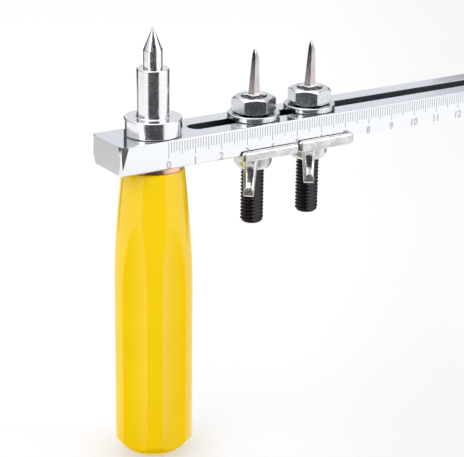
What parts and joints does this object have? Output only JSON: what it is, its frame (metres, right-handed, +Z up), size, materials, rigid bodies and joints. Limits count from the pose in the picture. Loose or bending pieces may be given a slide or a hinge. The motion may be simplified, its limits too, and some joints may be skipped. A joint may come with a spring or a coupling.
{
  "type": "gasket cutter",
  "caption": "Hand gasket cutter: a slotted bar with a millimetre scale swings round a pointed spindle on a fluted handle and carries sliding clamped knives.",
  "frame": {"origin": "centre of the flat foot on the handle's domed end", "axes": "+Z up the handle and the spindle to the centre point, +X along the bar to its far end, -Y out of the scale's face"},
  "size_m": [0.1891, 0.0262, 0.1487],
  "materials": {
    "yellow_plastic": "moulded, semi-gloss",
    "brass": "turned",
    "copper": "stamped copper",
    "chrome": "turned and polished",
    "bar_chrome": "satin chrome",
    "black_steel": "black oxide",
    "ground_steel": "ground",
    "zinc_plate": "zinc plated",
    "cast_zinc": "as cast, tumbled"
  },
  "bodies": {
    "handle": {"handle_grip": "yellow_plastic", "handle_bush": "brass", "thrust_washer": "copper", "spindle": "chrome", "centre_point": "chrome"},
    "bar": {"beam": "bar_chrome"},
    "holder_1": {"stud_1": "black_steel", "knife_1": "ground_steel"},
    "clamp_1": {"washer_1": "zinc_plate"},
    "nut_1": {"hex_nut_1": "zinc_plate"},
    "guide_1": {"guide_shoe_1": "cast_zinc"},
    "wing_1": {"wing_nut_1": "cast_zinc"},
    "holder_2": {"stud_2": "black_steel", "knife_2": "ground_steel"},
    "clamp_2": {"washer_2": "zinc_plate"},
    "nut_2": {"hex_nut_2": "zinc_plate"},
    "guide_2": {"guide_shoe_2": "cast_zinc"},
    "wing_2": {"wing_nut_2": "cast_zinc"}
  },
  "joints": [
    {"name": "bar_swing", "type": "hinge", "parent": "handle", "child": "bar", "pos_m": [0, 0, 0.10875], "axis": [0, 0, 1], "continuous": true},
    {"name": "holder_1_slide", "type": "slide", "parent": "bar", "child": "holder_1", "axis": [1, 0, 0], "range_m": [-0.0145, 0]},
    {"name": "washer_1_lift", "type": "slide", "parent": "holder_1", "child": "clamp_1", "axis": [0, 0, 1], "range_m": [0, 0.00252]},
    {"name": "nut_1_turn", "type": "hinge", "parent": "clamp_1", "child": "nut_1", "pos_m": [0.0389, 0, 0.1181], "axis": [0, 0, 1], "range_deg": [0, 720]},
    {"name": "shoe_1_drop", "type": "slide", "parent": "holder_1", "child": "guide_1", "axis": [0, 0, -1], "range_m": [0, 0.00502]},
    {"name": "wing_1_turn", "type": "hinge", "parent": "guide_1", "child": "wing_1", "pos_m": [0.0389, 0, 0.0983], "axis": [0, 0, -1], "range_deg": [0, 1440]},
    {"name": "holder_2_slide", "type": "slide", "parent": "bar", "child": "holder_2", "axis": [1, 0, 0], "range_m": [0, 0.088]},
    {"name": "washer_2_lift", "type": "slide", "parent": "holder_2", "child": "clamp_2", "axis": [0, 0, 1], "range_m": [0, 0.00252]},
    {"name": "nut_2_turn", "type": "hinge", "parent": "clamp_2", "child": "nut_2", "pos_m": [0.0617, 0, 0.1181], "axis": [0, 0, 1], "range_deg": [0, 720]},
    {"name": "shoe_2_drop", "type": "slide", "parent": "holder_2", "child": "guide_2", "axis": [0, 0, -1], "range_m": [0, 0.00502]},
    {"name": "wing_2_turn", "type": "hinge", "parent": "guide_2", "child": "wing_2", "pos_m": [0.0617, 0, 0.0983], "axis": [0, 0, -1], "range_deg": [0, 1440]}
  ],
  "couplings": [
    {"joint": "washer_1_lift", "follows": "nut_1_turn", "m_per_rad": 0.00019894},
    {"joint": "shoe_1_drop", "follows": "wing_1_turn", "m_per_rad": 0.00019894},
    {"joint": "washer_2_lift", "follows": "nut_2_turn", "m_per_rad": 0.00019894},
    {"joint": "shoe_2_drop", "follows": "wing_2_turn", "m_per_rad": 0.00019894}
  ]
}
